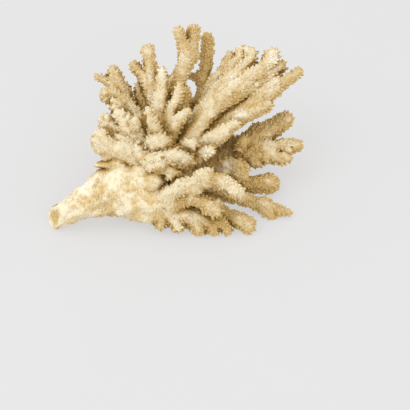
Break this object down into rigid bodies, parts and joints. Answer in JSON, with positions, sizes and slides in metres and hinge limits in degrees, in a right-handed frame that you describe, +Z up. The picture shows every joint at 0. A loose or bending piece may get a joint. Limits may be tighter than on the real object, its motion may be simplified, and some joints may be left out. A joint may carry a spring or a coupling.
{
  "type": "branching coral skeleton",
  "caption": "Bleached branching coral lying on its side: a short stem cut flat, a knobbly heart and a fan of cup-studded branches with rounded tips.",
  "frame": {"origin": "on the floor, under the middle of the whole coral as it lies on its side", "axes": "+X from the cut stem towards the far branch tips, +Y towards the back where the fan of branches rises, +Z up from the floor"},
  "size_m": [0.1918, 0.1464, 0.103],
  "materials": {
    "worn_coral": "smooth, worn, cream",
    "cupped_coral": "rough with small cups, cream to tan"
  },
  "bodies": {
    "root": {"trunk": "worn_coral", "left_fork": "cupped_coral", "left_horn": "cupped_coral", "left_shoulder": "cupped_coral", "left_stub": "cupped_coral", "crown_finger": "cupped_coral", "crown_club": "cupped_coral", "crown_spike": "cupped_coral", "crown_tall": "cupped_coral", "crown_back": "cupped_coral", "middle_spur": "cupped_coral", "middle_thumb": "cupped_coral", "middle_twin": "cupped_coral", "middle_arm": "cupped_coral", "fan_back": "cupped_coral", "fan_under": "cupped_coral", "great_bough": "cupped_coral", "long_finger": "cupped_coral", "right_bough": "cupped_coral", "right_prong": "cupped_coral", "right_knob": "cupped_coral", "right_club": "cupped_coral", "low_finger": "cupped_coral", "low_spur": "cupped_coral", "front_bough": "cupped_coral", "front_spur": "cupped_coral", "foot_cluster": "cupped_coral", "heart_upper": "cupped_coral", "heart_lower": "cupped_coral", "back_crown": "cupped_coral", "back_left": "cupped_coral", "back_right": "cupped_coral", "back_foot_left": "cupped_coral", "back_foot_right": "cupped_coral"}
  },
  "joints": []
}
